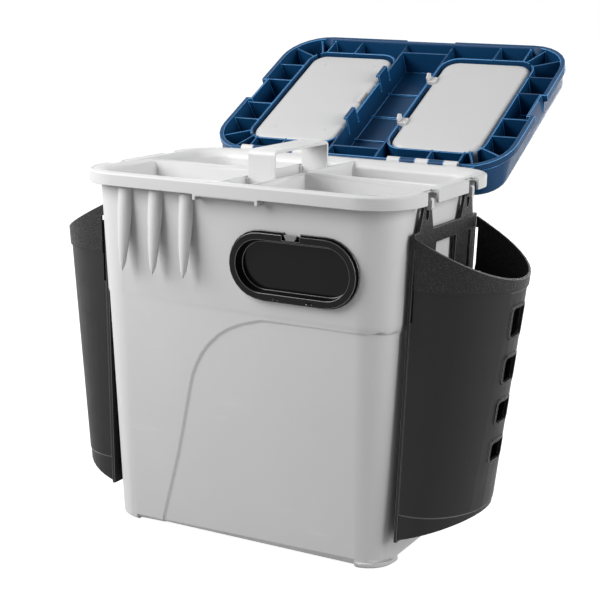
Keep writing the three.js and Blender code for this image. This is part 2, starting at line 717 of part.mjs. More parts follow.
function lidWalls() {
  const top = lid.height - lid.plate / 2;
  const pieces = [];
  const front = lidCentreY - skirtDepth / 2;
  const back = lidCentreY + skirtDepth / 2;
  for (const sign of [-1, 1]) {
    const centreX = sign * openingX;
    const ring = roundedOutline(
      ringWidth + opening.wall * 2, ringLength + opening.wall * 2, ringCorner + opening.wall,
    );
    pieces.push(slab(moved(ring, centreX, lidCentreY), lid.wallStart, top));
    const x = ordered(sign * wallOuter, sign * opening.channelHalf);
    pieces.push(block(x[0], x[1], front, back, lid.wallStart, top));
    const side = ordered(centreX, sign * (skirtWidth / 2));
    for (const along of [-sideRib.outer, -sideRib.inner, sideRib.inner, sideRib.outer]) {
      const y = lidCentreY + along;
      pieces.push(block(side[0], side[1], y - lid.rib / 2, y + lid.rib / 2, lid.ribStart, top));
    }
    for (const across of [endRib.inner, endRib.outer]) {
      const ribX = sign * across;
      pieces.push(block(ribX - lid.rib / 2, ribX + lid.rib / 2, front, back, lid.ribStart, top));
    }
    for (const end of [-1, 1]) {
      const cornerX = centreX + sign * (ringWidth / 2 - ringCorner);
      const cornerY = lidCentreY + end * (ringLength / 2 - ringCorner);
      for (const degrees of fanAngles) pieces.push(fanRib(cornerX, cornerY, sign, end, degrees, top));
    }
  }
  for (const y of [back - channel.backEnd + opening.wall, front + channel.frontEnd]) {
    pieces.push(block(-opening.channelHalf, opening.channelHalf, y - opening.wall, y, lid.wallStart, top));
  }
  return joined(pieces).intersect(skirtSpace(lid.wall / 2, lid.ribStart, top));
}

function fanRib(x, y, signX, signY, degrees, top) {
  const geometry = new THREE.BoxGeometry(lidWidth / 2, lid.rib, top - lid.ribStart);
  geometry.translate(lidWidth / 4, 0, (top + lid.ribStart) / 2);
  const angle = THREE.MathUtils.degToRad(degrees);
  geometry.rotateZ(Math.atan2(signY * Math.sin(angle), signX * Math.cos(angle)));
  return solid(geometry.translate(x, y, 0));
}

function channelRibs() {
  const top = lid.height - lid.plate;
  return joined([-channel.ribSpacing, 0, channel.ribSpacing].map((along) => block(
    -wallOuter - opening.wall / 2, wallOuter + opening.wall / 2, lidCentreY + along - lid.rib / 2,
    lidCentreY + along + lid.rib / 2, top - channel.ribHeight, top + lid.plate / 2,
  )));
}

function flapHoles() {
  const ring = roundedOutline(ringWidth, ringLength, ringCorner);
  return joined([-1, 1].map((sign) => (
    slab(moved(ring, sign * openingX, lidCentreY), -overrun, lid.height + overrun)
  )));
}

function pinBosses() {
  const inner = flapPinStart;
  const outer = flapPinEnd + flap.bossWall;
  const reach = flap.pinRadius + flap.bossWall;
  const bosses = [];
  for (const signX of [-1, 1]) {
    const x = signX * (openingX + flapAxisX);
    for (const signY of [-1, 1]) {
      const y = ordered(lidCentreY + signY * inner, lidCentreY + signY * outer);
      bosses.push(block(x - reach, x + reach, y[0], y[1], flapAxisZ - reach, lid.height - lid.plate / 2));
    }
  }
  return joined(bosses);
}

// The flap's corner falls away where the pin leaves it, so the pin starts inside the corner.
const cornerDrop = flap.corner - Math.sqrt(flap.corner ** 2 - (flap.corner - flap.pinInset) ** 2);
const flapPinStart = flapLength / 2 - cornerDrop - flap.pinEmbed;
const flapPinEnd = flapPinStart + flap.pinLength;

function pinSockets() {
  const radius = flap.pinRadius + gap;
  const sockets = [];
  for (const signX of [-1, 1]) {
    const x = signX * (openingX + flapAxisX);
    for (const signY of [-1, 1]) {
      const y = ordered(lidCentreY + signY * flapPinStart, lidCentreY + signY * (flapPinEnd + gap));
      sockets.push(rodAlongY(radius, y[0], y[1], x, flapAxisZ));
      sockets.push(block(x - radius, x + radius, y[0], y[1], -overrun, flapAxisZ));
    }
  }
  return joined(sockets);
}

// Room for the flap's rounded corners, which swing out past the opening's corners about the pins.
function flapSwingRooms() {
  const end = flapLength / 2 - flap.swingEnd;
  return joined([-1, 1].map((sign) => rodAlongY(
    flap.swingRadius, lidCentreY - end, lidCentreY + end, sign * (openingX + flapAxisX), flapAxisZ,
  )));
}

// Spring hooks on the left channel wall, each between two slots in it.
function catchHooks() {
  const low = lid.wallStart - catchHook.rise;
  const outer = -opening.channelHalf - catchHook.nose;
  const hooks = [-1, 1].map((end) => {
    const y = lidCentreY + (end * catchHook.spacing) / 2;
    const half = catchHook.width / 2;
    const stem = block(-opening.channelHalf, -wallOuter, y - half, y + half, low, lid.wallStart + lid.rib);
    const nose = block(outer, -wallOuter, y - half, y + half, low, low + catchHook.noseHeight);
    return stem.add(nose);
  });
  return joined(hooks);
}

function catchSlots() {
  const slots = [];
  const half = catchHook.slot / 2;
  for (const end of [-1, 1]) {
    for (const side of [-1, 1]) {
      const y = lidCentreY + (end * catchHook.spacing) / 2 + side * (catchHook.width / 2 + half);
      slots.push(block(
        -opening.channelHalf - gap, -wallOuter + gap, y - half, y + half, -overrun, catchHook.slotEnd,
      ));
    }
  }
  return joined(slots);
}

// The right flap's clips pass the channel wall and the plate on the circles that their corners draw
// about the flap's pins.
const clipEdgeX = openingX - flapWidth / 2;
const clipTipX = clipEdgeX - clip.reach;
const clipLow = clip.start - clip.paddleDrop;
const clipSwing = Math.hypot(openingX + flapAxisX - clipTipX, flapAxisZ - clipLow);
const clipReachX = openingX + flapAxisX - clipSwing - clip.clearance;
const clipPlaces = [-clip.spacing / 2, clip.spacing / 2];

function clipNotches() {
  const half = clip.width / 2 + clip.clearance;
  return joined(clipPlaces.map((y) => block(
    clipReachX, opening.channelHalf + gap, lidCentreY + y - half, lidCentreY + y + half,
    -overrun, lid.height + overrun,
  )));
}

function lidSolid() {
  const barrels = joined(lidKnuckles.map((x) => {
    const half = lidKnuckleWidth / 2;
    const web = block(x - half, x + half, -lid.lip - lid.wall / 2, lid.back, 0, hinge.radius);
    return rodAlongX(hinge.radius, x - half, x + half, 0, 0).add(web);
  }));
  const hollows = lidSideHollows();
  return lidShell()
    .add(hollows.walls)
    .subtract(hollows.cuts)
    .add(lidWalls().subtract(hollows.cuts))
    .add(channelRibs())
    .add(pinBosses())
    .add(catchHooks())
    .subtract(flapHoles().subtract(catchHooks()))
    .subtract(catchSlots())
    .subtract(clipNotches())
    .subtract(pinSockets())
    .subtract(flapSwingRooms())
    .subtract(hingeRelief(tubKnuckles, knuckle.width, 0, 0))
    .add(barrels)
    .subtract(rodAlongX(boreRadius, -lidWidth, lidWidth, 0, 0));
}

// Flaps, in the lid's frame, each about its own middle

function flapOutline(inset) {
  return roundedOutline(flapWidth - inset * 2, flapLength - inset * 2, flap.corner - inset);
}

const coverStart = lid.height - flap.cover;

function flapPan(sign) {
  const top = coverStart - gap;
  const low = flap.underside;
  const outer = loft([
    { outline: flapOutline(flap.edgeRound), z: low },
    { outline: flapOutline(flap.edgeShoulder), z: low + flap.floor },
    { outline: flapOutline(0), z: low + flap.edgeRound },
    { outline: flapOutline(0), z: top },
  ]);
  const cavity = loft([
    { outline: flapOutline(flap.edgeRound + flap.wall), z: low + flap.floor },
    { outline: flapOutline(flap.edgeShoulder + flap.wall), z: low + flap.floor * 2 },
    { outline: flapOutline(flap.wall), z: low + flap.edgeRound + flap.floor },
    { outline: flapOutline(flap.wall), z: top + overrun },
  ]);
  const radius = flap.pinRadius + gap;
  const reach = radius + flap.bossWall;
  const axisX = sign * flapAxisX;
  const sockets = [-1, 1].map((end) => {
    const y = ordered(end * (flapPinStart - flap.bossWall), (end * flapLength) / 2);
    return block(axisX - reach, axisX + reach, y[0], y[1], flapAxisZ - reach, top);
  });
  const bores = [-1, 1].map((end) => {
    const y = ordered(end * (flapPinStart - gap), end * flapLength);
    return rodAlongY(radius, y[0], y[1], axisX, flapAxisZ);
  });
  const filled = joined(sockets).intersect(outer);
  return outer.subtract(cavity).add(filled).subtract(joined(bores));
}

// Clips at the right flap's inner edge: each reaches over the channel wall to a pointed paddle.
function flapClips() {
  const edge = -flapWidth / 2;
  const tip = edge - clip.reach;
  const heel = edge + clip.root;
  return joined(clipPlaces.map((y) => {
    const half = clip.width / 2;
    const head = block(tip, heel, y - half, y + half, clip.start, clip.start + clip.thickness);
    const root = flap.underside + flap.edgeRound;
    const stem = block(edge + flap.wall, heel, y - half, y + half, clip.start, root);
    const low = clip.start - clip.paddleDrop;
    const outline = [
      [y - half, clip.start + clip.thickness], [y - half, low + clip.paddlePoint], [y, low],
      [y + half, low + clip.paddlePoint], [y + half, clip.start + clip.thickness],
    ].map(([along, z]) => new THREE.Vector2(along, z));
    return joined([head, stem, drawnAlongX(outline, tip, tip + clip.paddle)]);
  }));
}

// A low ledge at the left flap's inner edge, between the spring hooks.
function flapLedge() {
  const x = flapWidth / 2 - ledge.inset;
  const half = ledge.width / 2;
  return block(x - ledge.reach, x, -half, half, ledge.start, flap.underside + flap.floor);
}

function flapBumps() {
  const bumps = [];
  for (const x of [-1, 1]) {
    for (const y of [-1, 1]) {
      bumps.push(rodAlongZ(
        bump.radius, flap.underside - bump.height, flap.underside + flap.floor / 2,
        x * (flapWidth / 2 - bump.insetX), y * (flapLength / 2 - bump.insetY),
      ));
    }
  }
  return joined(bumps);
}

function flapCover() {
  return loft([
    { outline: flapOutline(0), z: coverStart },
    { outline: flapOutline(0), z: lid.height - flap.coverBevel },
    { outline: flapOutline(flap.coverBevel), z: lid.height },
  ]);
}

// Pocket, in a frame on the tub's side wall: X points out of the wall, Z runs up it and the origin
// is at the shoulder

function pocketOutline(depth, half, back) {
  const from = pocketBack + pocket.wall;
  const points = [new THREE.Vector2(back, half), new THREE.Vector2(back, -half)];
  for (let i = 0; i <= pocket.arcSteps; i += 1) {
    const angle = -Math.PI / 2 + (Math.PI * i) / pocket.arcSteps;
    points.push(new THREE.Vector2(from + (depth - from) * Math.cos(angle), half * Math.sin(angle)));
  }
  return points;
}

function up(height) {
  return height - shoulder;
}

function pocketDepth(height) {
  const share = (height - pocket.backBottom) / (pocketFrontTop - pocket.backBottom);
  return pocket.bottomDepth + (pocket.topDepth - pocket.bottomDepth) * share;
}

function pocketSkin(grow, back) {
  const ring = (height, extra) => ({
    outline: pocketOutline(pocketDepth(height) + grow + extra, pocket.halfWidth + grow + extra, back),
    z: up(height),
  });
  return loft([
    ring(pocket.backBottom - overrun, -pocket.hem),
    ring(pocket.hemHeight, -pocket.hem),
    ring(pocket.hemHeight + pocket.hem, 0),
    ring(pocketBandHeight - pocket.band, 0),
    ring(pocketBandHeight, pocket.band),
    ring(pocketBackTop + overrun, pocket.band),
  ]);
}

// The pocket's side view, with its slanted mouth and its rising bottom.
function pocketSide(trim, mouth) {
  const far = pocket.topDepth + overrun;
  const slopeTop = (pocketBackTop - pocketFrontTop) / pocket.topDepth;
  const slopeBottom = (pocket.frontBottom - pocket.backBottom) / pocket.bottomDepth;
  const points = [
    [-overrun, pocket.backBottom + trim - slopeBottom * overrun],
    [far, pocket.backBottom + trim + slopeBottom * far],
    [far, pocketBackTop + mouth - slopeTop * far],
    [-overrun, pocketBackTop + mouth + slopeTop * overrun],
  ].map(([x, z]) => new THREE.Vector2(x, up(z)));
  return drawnAlongY(points, -pocket.halfWidth - overrun, pocket.halfWidth + overrun);
}

function ventBlock(index, grow) {
  const height = vent.heights[index] + grow * 2;
  const middle = pocket.frontBottom + (pocketFrontTop - pocket.frontBottom) * ventShares[index];
  const outline = roundedOutline(height, vent.width + grow * 2, vent.corner + grow, vent.cornerSteps);
  const geometry = geometryOf(slab(outline, pocket.bottomDepth / 2, pocket.topDepth + overrun));
  return solid(geometry.rotateY(-Math.PI / 2).rotateX(Math.PI).rotateY(Math.PI).translate(0, 0, up(middle)));
}

function pocketShell() {
  const borders = joined(vent.heights.map((_, index) => ventBlock(index, vent.border)));
  const holes = joined(vent.heights.map((_, index) => ventBlock(index, 0)));
  const proud = pocketSkin(vent.proud, pocketBack).intersect(borders);
  const inner = pocketSkin(-pocket.wall, pocketBack - pocket.wall)
    .intersect(pocketSide(pocket.wall, overrun * 2));
  const half = pocket.halfWidth + overrun;
  const slits = block(
    pocketBack - overrun, pocketBack + pocket.slit, -half, half, -pocket.slitBottomDrop, -pocket.slitTopDrop,
  );
  return pocketSkin(0, pocketBack).add(proud)
    .intersect(pocketSide(0, 0))
    .subtract(inner)
    .subtract(holes)
    .subtract(slits);
}

// An outline about a middle line, from its right half's points on the way up.
function mirrored(middle, half) {
  const right = half.map(([along, z]) => new THREE.Vector2(middle + along, z));
  const left = half.map(([along, z]) => new THREE.Vector2(middle - along, z)).reverse();
  return [...right, ...left];
}

function hangerFrame() {
  const x0 = pocket.standoff;
  const x1 = x0 + pocket.plate;
  const half = pocket.halfWidth;
  const plate = block(x0, x1, -half, half, up(pocket.backBottom), up(pocketBackTop));
  const low = up(pocket.backBottom + hanger.sill);
  const high = up(pocketBackTop - hanger.bar);
  const cuts = [block(x0 - gap, x1 + gap, -hanger.window / 2, hanger.window / 2, low, high)];
  const arms = [];
  const slots = [];
  for (const sign of [-1, 1]) {
    const edge = half - hanger.outerStrip;
    const slit = ordered(sign * (edge - hanger.slitStrip), sign * edge);
    cuts.push(block(x0 - gap, x1 + gap, slit[0], slit[1], low, high));
    const middle = (sign * notch.spacing) / 2;
    const foot = hanger.armWidth / 2;
    const head = hanger.armTopWidth / 2;
    arms.push(drawnAlongX(mirrored(middle, [
      [foot, up(pocketBackTop - hanger.bar / 2)], [foot, up(pocketBackTop)],
      [head, -hanger.armWaist], [head, hanger.armRise],
    ]), x0, x1));
    const slot = hanger.slotWidth / 2;
    slots.push(drawnAlongX(mirrored(middle, [
      [slot / 2, -hanger.slotDrop], [slot, hanger.slotPoint - hanger.slotDrop], [slot, up(lugRootTop + gap)],
    ]), x0 - gap, x1 + gap));
  }
  return plate.subtract(joined(cuts)).add(joined(arms)).subtract(joined(slots));
}

// Assembly

const seatBox = new THREE.Group();

seatBox.add(part('tub', geometryOf(tubSolid()), palette.tub()));

function hingePins() {
  for (const [name, sign] of [['lid_pin_right', 1], ['lid_pin_left', -1]]) {
    const x = ordered(sign * pinStart, sign * pinEnd);
    const pin = rodAlongX(hinge.pinRadius, x[0], x[1], hingeY, hingeZ);
    seatBox.add(part(name, geometryOf(pin), palette.pin()));
  }
}
hingePins();

const hatchGroup = new THREE.Group();
hatchGroup.applyMatrix4(hatchPlace);
hatchGroup.add(part('hatch_frame', geometryOf(hatchFrameSolid()), palette.hatch()));
hatchGroup.add(part('hatch_ring', geometryOf(hatchRingSolid()), palette.hatch()));
hatchGroup.add(part('hatch_door', geometryOf(hatchDoorSolid()), palette.hatch()));
hatchGroup.add(part('hatch_tongue', geometryOf(hatchTongueSolid()), palette.tub()));
hatchGroup.add(part('hatch_pin', geometryOf(rodAlongX(
  door.pinRadius, -door.pinLength / 2, door.pinLength / 2, hatchHingeY, door.hingeOut,
)), palette.pin()));
seatBox.add(hatchGroup);

seatBox.add(part('tray', geometryOf(traySolid()), palette.tray()));
seatBox.add(part('tray_handle', geometryOf(handleSolid()), palette.tray()));

const lidGroup = new THREE.Group();
lidGroup.position.set(0, hingeY, hingeZ);
lidGroup.rotation.x = -lidOpen;
lidGroup.add(part('lid', geometryOf(lidSolid()), palette.lid()));
for (const [side, sign] of [['right', 1], ['left', -1]]) {
  const flapGroup = new THREE.Group();
  flapGroup.position.set(sign * openingX, lidCentreY, 0);
  const details = sign < 0 ? flapBumps().add(flapLedge()) : flapClips();
  const pan = flapPan(sign).add(details);
  flapGroup.add(part(`flap_${side}`, geometryOf(pan), palette.flap()));
  flapGroup.add(part(`flap_cover_${side}`, geometryOf(flapCover()), palette.flap()));
  for (const [end, signY] of [['front', -1], ['back', 1]]) {
    const y = ordered(signY * flapPinStart, signY * flapPinEnd);
    const pin = rodAlongY(flap.pinRadius, y[0], y[1], sign * flapAxisX, flapAxisZ);
    flapGroup.add(part(`flap_pin_${side}_${end}`, geometryOf(pin), palette.flap()));
  }
  lidGroup.add(flapGroup);
}
seatBox.add(lidGroup);

for (const [side, turn] of [['right', 0], ['left', Math.PI]]) {
  const sideGroup = new THREE.Group();
  sideGroup.rotation.z = turn;
  const wallGroup = new THREE.Group();
  wallGroup.position.set(bodyTopHalfWidth, 0, shoulder);
  wallGroup.rotation.y = sideLean;
  wallGroup.add(part(`pocket_${side}`, geometryOf(pocketShell()), palette.pocket()));
  wallGroup.add(part(`pocket_frame_${side}`, geometryOf(hangerFrame()), palette.pocket()));
  sideGroup.add(wallGroup);
  seatBox.add(sideGroup);
}

export default seatBox;
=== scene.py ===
"""Looks of the seat box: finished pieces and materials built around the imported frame."""

from math import cos, radians, sin

import bpy
from bpy.props import FloatProperty, FloatVectorProperty, IntProperty, PointerProperty
from mathutils import Matrix, Vector


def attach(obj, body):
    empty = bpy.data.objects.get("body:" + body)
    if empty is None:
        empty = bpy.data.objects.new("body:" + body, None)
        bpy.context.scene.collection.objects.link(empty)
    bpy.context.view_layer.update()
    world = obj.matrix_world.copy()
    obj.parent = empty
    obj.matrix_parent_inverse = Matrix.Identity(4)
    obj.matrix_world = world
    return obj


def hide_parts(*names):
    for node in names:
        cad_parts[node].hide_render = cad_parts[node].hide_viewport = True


bl_info = {
    "name": "Seat box looks",
    "version": (1, 0, 0),
    "blender": (4, 5, 0),
    "location": "View3D > Sidebar > Seat Box",
    "description": "Builds the finished pieces, materials and stage of the seat box",
    "category": "Object",
}

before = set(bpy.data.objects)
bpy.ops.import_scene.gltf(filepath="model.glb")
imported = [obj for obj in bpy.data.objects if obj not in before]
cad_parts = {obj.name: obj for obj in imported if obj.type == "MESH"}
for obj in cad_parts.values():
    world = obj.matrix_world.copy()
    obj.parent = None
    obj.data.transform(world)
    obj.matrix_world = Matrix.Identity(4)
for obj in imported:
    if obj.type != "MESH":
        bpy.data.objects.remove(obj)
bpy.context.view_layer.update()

MM = 0.001
MERGE = 0.01 * MM

# Facets that meet at less than the first angle are one flat face, and at less than the second a smooth one.
FLAT = radians(0.6)
SMOOTH = radians(35)

# A rounded edge wants this many times its width beside it. With less room it is rounded less, and with less
# than the least share of it the edge stays sharp.
ROOM = 2.6
LEAST_SHARE = 0.12


# Sizes and colours that a user would change


class SeatBoxEdges(bpy.types.PropertyGroup):
    shell: FloatProperty(
        name="Shell edge", description="Rounding of the tub's and rim's edges", default=0.0011,
        unit="LENGTH",
    )
    rib: FloatProperty(
        name="Rib edge", description="Rounding of the lid's thin ribs", default=0.0006, unit="LENGTH"
    )
    trim: FloatProperty(
        name="Trim edge", description="Rounding of the pockets and the thumb tongue", default=0.0004,
        unit="LENGTH",
    )
    gloss: FloatProperty(
        name="Hatch edge", description="Rounding of the glossy hatch's edges", default=0.0007, unit="LENGTH"
    )
    lip: FloatProperty(
        name="Tray lip", description="How far the tray's walls lean out at the top", default=0.009,
        unit="LENGTH",
    )
    segments: IntProperty(
        name="Segments", description="Faces across a rounded edge", default=3, min=1, max=6
    )


class SeatBoxColours(bpy.types.PropertyGroup):
    tub: FloatVectorProperty(
        name="Tub", description="Pale grey of the tub", subtype="COLOR", size=4,
        default=(0.57, 0.57, 0.57, 1),
    )
    tray: FloatVectorProperty(
        name="Tray", description="Light grey of the tray", subtype="COLOR", size=4,
        default=(0.64, 0.64, 0.64, 1),
    )
    flap: FloatVectorProperty(
        name="Flap", description="Light grey of the flaps", subtype="COLOR", size=4,
        default=(0.53, 0.53, 0.53, 1),
    )
    lid: FloatVectorProperty(
        name="Lid", description="Dark blue of the lid", subtype="COLOR", size=4,
        default=(0.005, 0.044, 0.118, 1),
    )
    # Painted highlight: a brighter blue painted on the lid's rounded edges, in place of the gloss that
    # lights them.
    lid_edge_highlight: FloatVectorProperty(
        name="Lid edges", description="Brighter blue of the lid's rounded edges", subtype="COLOR", size=4,
        default=(0.07, 0.31, 0.66, 1),
    )
    pocket: FloatVectorProperty(
        name="Pocket", description="Near black of the pockets", subtype="COLOR", size=4,
        default=(0.0115, 0.0115, 0.012, 1),
    )
    # Painted highlight: a grey painted on the pockets' rounded edges, much paler than the pocket.
    pocket_edge_highlight: FloatVectorProperty(
        name="Pocket edges", description="Grey of the pockets' rounded edges", subtype="COLOR", size=4,
        default=(0.12, 0.12, 0.122, 1),
    )
    hatch: FloatVectorProperty(
        name="Hatch", description="Black of the hatch", subtype="COLOR", size=4,
        default=(0.004, 0.004, 0.0045, 1),
    )
    # Partly a painted highlight: the hatch's edges are painted a paler black than the hatch, and they are
    # also truly glossier.
    hatch_edge_highlight: FloatVectorProperty(
        name="Hatch edges", description="Black of the hatch's polished edges", subtype="COLOR", size=4,
        default=(0.02, 0.02, 0.021, 1),
    )
    tongue: FloatVectorProperty(
        name="Tongue", description="Mid grey of the hatch's thumb tongue", subtype="COLOR", size=4,
        default=(0.17, 0.17, 0.17, 1),
    )
    pin: FloatVectorProperty(
        name="Pin", description="Steel of the pins", subtype="COLOR", size=4,
        default=(0.62, 0.63, 0.65, 1),
    )


class SeatBoxCamera(bpy.types.PropertyGroup):
    yaw: FloatProperty(
        name="Yaw", description="Turn of the view about the box", default=0.48789, subtype="ANGLE"
    )
    pitch: FloatProperty(
        name="Pitch", description="Height of the view", default=0.21972, subtype="ANGLE"
    )
    roll: FloatProperty(
        name="Roll", description="Lean of the picture", default=0.0198, subtype="ANGLE"
    )
    distance: FloatProperty(
        name="Distance", description="From the lens to the target", default=1.6271, unit="LENGTH"
    )
    lens: FloatProperty(name="Lens", description="Focal length on a 36 mm sensor", default=87.93)
    target: FloatVectorProperty(
        name="Target", description="Point in the middle of the picture", subtype="XYZ",
        default=(0.01657, 0, 0.25764),
    )


# Small helpers for modelling in edit mode


def only(piece):
    """Selects the piece alone, in object mode."""
    if bpy.context.mode != "OBJECT":
        bpy.ops.object.mode_set(mode="OBJECT")
    bpy.ops.object.select_all(action="DESELECT")
    piece.select_set(True)
    bpy.context.view_layer.objects.active = piece


def settled(piece):
    """Puts the object at the origin, unturned, with its place in its mesh."""
    only(piece)
    bpy.ops.object.transform_apply(location=True, rotation=True, scale=True)


def applied(piece, kind, **values):
    """Adds a modifier and applies it."""
    only(piece)
    modifier = piece.modifiers.new(kind.title(), kind)
    for key, value in values.items():
        setattr(modifier, key, value)
    bpy.ops.object.modifier_apply(modifier=modifier.name)


def merged_copy(node, name, *finishes):
    """A merged copy of a CAD node's mesh, with its flat facets joined."""
    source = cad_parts[node]
    piece = bpy.data.objects.new(name, source.data.copy())
    bpy.context.scene.collection.objects.link(piece)
    piece.data.materials.clear()
    for finish in finishes:
        piece.data.materials.append(bpy.data.materials[finish])
    only(piece)
    bpy.ops.object.mode_set(mode="EDIT")
    bpy.ops.mesh.select_all(action="SELECT")
    bpy.ops.mesh.remove_doubles(threshold=MERGE)
    bpy.ops.mesh.dissolve_limited(angle_limit=FLAT)
    bpy.ops.object.mode_set(mode="OBJECT")
    return piece


def evened(piece):
    """Splits the wide flat faces into even triangles, which a bevel can run along."""
    only(piece)
    bpy.ops.object.mode_set(mode="EDIT")
    bpy.ops.mesh.select_all(action="SELECT")
    bpy.ops.mesh.quads_convert_to_tris(quad_method="BEAUTY", ngon_method="CLIP")
    bpy.ops.mesh.beautify_fill(angle_limit=radians(1))
    bpy.ops.object.mode_set(mode="OBJECT")
    return piece


def copy_of(node, name, *finishes):
    """A copy of a CAD node that is ready for its rounded edges."""
    return evened(merged_copy(node, name, *finishes))


def within(place, zone):
    """Whether a point lies in a box, given by its two corners."""
    return all(low <= value <= high for low, value, high in zip(zone[0], place, zone[1]))


def edge_length(mesh, edge):
    first, second = (mesh.vertices[i].co for i in edge.vertices)
    return (first - second).length


def room_around(mesh):
    """How much room each vertex has: the lowest face and the shortest edge that meet there."""
    room = [1.0] * len(mesh.vertices)
    for face in mesh.polygons:
        corners = [mesh.vertices[i].co for i in face.vertices]
        longest = max((corners[i] - corners[i - 1]).length for i in range(len(corners)))
        double_height = 4 * face.area / longest
        for index in face.vertices:
            room[index] = min(room[index], double_height)
    for edge in mesh.edges:
        length = edge_length(mesh, edge)
        for index in edge.vertices:
            room[index] = min(room[index], length)
    return room


def edge_angles(mesh):
    """The angle between the two faces at each edge."""
    normals = {}
    for face in mesh.polygons:
        for key in face.edge_keys:
            normals.setdefault(key, []).append(face.normal.copy())
    return {key: pair[0].angle(pair[1], 0.0) for key, pair in normals.items() if len(pair) == 2}


def weigh_edges(piece, width, sharp, plain_zones):
    """Bevel weights: full on sharp edges, less where there is little room, none in the plain zones."""
    mesh = piece.data
    room = room_around(mesh)
    angles = edge_angles(mesh)
    weights = mesh.attributes.new("bevel_weight_edge", "FLOAT", "EDGE")
    for edge in mesh.edges:
        first, second = edge.vertices
        middle = (mesh.vertices[first].co + mesh.vertices[second].co) / 2
        if angles.get(edge.key, 0.0) < sharp or any(within(middle, zone) for zone in plain_zones):
            continue
        share = min(room[first], room[second]) / (ROOM * width)
        weights.data[edge.index].value = min(1.0, share) if share > LEAST_SHARE else 0.0


def round_edges(piece, width, segments, sharp=SMOOTH, plain_zones=(), flatness=100):
    """Real rounded edges, whose faces take the piece's second material where it has one; on the lid, hatch
    and pockets that is a paler finish, a painted highlight.
    """
    weigh_edges(piece, width, sharp, plain_zones)
    applied(
        piece, "BEVEL", width=width, segments=segments, limit_method="WEIGHT", use_clamp_overlap=False,
        harden_normals=False, miter_outer="MITER_ARC", material=1,
    )
    only(piece)
    bpy.ops.object.shade_smooth_by_angle(angle=sharp)
    applied(piece, "WEIGHTED_NORMAL", weight=flatness, keep_sharp=True)
    return piece


def finish_piece(piece, body, node):
    """Rides a finished piece on its body, in the place of its CAD node."""
    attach(piece, body)
    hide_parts(node)


# Effects that several finishes share

# How many times per metre each pattern repeats, or along x, y and z.
DEPTH_PATCHES = 60.0
COLOUR_CLOUDS = 9.0
SHINE_CLOUDS = 38.0
FLOW_MARKS = (26.0, 26.0, 3.0)
SCRATCH_PATCHES = 14.0
WIRE_RINGS = (4000.0, 300.0, 300.0)

# Two sets of scratches: how they are turned and drawn out, and which part of the noise shows.
SCRATCHES = ((0.5, (900.0, 18.0, 60.0)), (-0.9, (20.0, 1100.0, 70.0)))
SCRATCH_RANGE = (0.66, 0.78)
PATCH_RANGE = (0.48, 0.62)


def group_frame(name, inputs, outputs):
    """An empty node group with the named inputs and outputs."""
    tree = bpy.data.node_groups.new(name, "ShaderNodeTree")
    for label, kind, default in inputs:
        socket = tree.interface.new_socket(name=label, in_out="INPUT", socket_type=kind)
        if default is not None:
            socket.default_value = default
    for label in outputs:
        tree.interface.new_socket(name=label, in_out="OUTPUT", socket_type="NodeSocketFloat")
    return tree, tree.nodes.new("NodeGroupInput"), tree.nodes.new("NodeGroupOutput")


def plug(tree, value, socket):
    """Feeds a socket from another one, or with a constant."""
    if isinstance(value, bpy.types.NodeSocket):
        tree.links.new(value, socket)
    else:
        socket.default_value = value


def math_node(tree, operation, first, second, clamp=False):
    node = tree.nodes.new("ShaderNodeMath")
    node.operation = operation
    node.use_clamp = clamp
    plug(tree, first, node.inputs[0])
    plug(tree, second, node.inputs[1])
    return node.outputs[0]


def range_node(tree, value, low, high, to_low=0.0, to_high=1.0):
    """A value carried from one range over to another."""
    node = tree.nodes.new("ShaderNodeMapRange")
    node.inputs["From Min"].default_value = low
    node.inputs["From Max"].default_value = high
    node.inputs["To Min"].default_value = to_low
    node.inputs["To Max"].default_value = to_high
    tree.links.new(value, node.inputs["Value"])
    return node.outputs["Result"]


def mix_node(tree, kind, factor, first, second):
    """A mix of two numbers or colours, each of them a socket or a constant."""
    node = tree.nodes.new("ShaderNodeMix")
    node.data_type = kind
    tree.links.new(factor, node.inputs["Factor"])
    plug(tree, first, node.inputs["A"])
    plug(tree, second, node.inputs["B"])
    return node.outputs["Result"]


def stretched(tree, vector, scale, rotation=(0.0, 0.0, 0.0)):
    """Coordinates that draw a pattern out along a direction."""
    node = tree.nodes.new("ShaderNodeMapping")
    node.inputs["Rotation"].default_value = rotation
    node.inputs["Scale"].default_value = scale
    tree.links.new(vector, node.inputs["Vector"])
    return node.outputs["Vector"]


def noise_node(tree, vector, scale, detail=2.0, roughness=0.5):
    node = tree.nodes.new("ShaderNodeTexNoise")
    node.inputs["Detail"].default_value = detail
    node.inputs["Roughness"].default_value = roughness
    tree.links.new(vector, node.inputs["Vector"])
    plug(tree, scale, node.inputs["Scale"])
    return node.outputs["Fac"]


def build_grain_group():
    """Spark-eroded grain of a moulding: fine pits with a slight unevenness in how deep they are."""
    tree, source, sink = group_frame(
        "moulded_grain",
        [("Vector", "NodeSocketVector", None), ("Pits per metre", "NodeSocketFloat", 1800.0)],
        ["Height"],
    )
    vector = source.outputs["Vector"]
    scale = source.outputs["Pits per metre"]
    pits = noise_node(tree, vector, scale, detail=3.0, roughness=0.65)
    cells = tree.nodes.new("ShaderNodeTexVoronoi")
    tree.links.new(vector, cells.inputs["Vector"])
    tree.links.new(scale, cells.inputs["Scale"])
    mixed = math_node(
        tree, "ADD",
        math_node(tree, "MULTIPLY", pits, 0.65),
        math_node(tree, "MULTIPLY", cells.outputs["Distance"], 0.35),
    )
    patch = noise_node(tree, vector, DEPTH_PATCHES)
    depth = math_node(tree, "ADD", math_node(tree, "MULTIPLY", patch, 0.5), 0.7)
    tree.links.new(math_node(tree, "MULTIPLY", mixed, depth), sink.inputs["Height"])


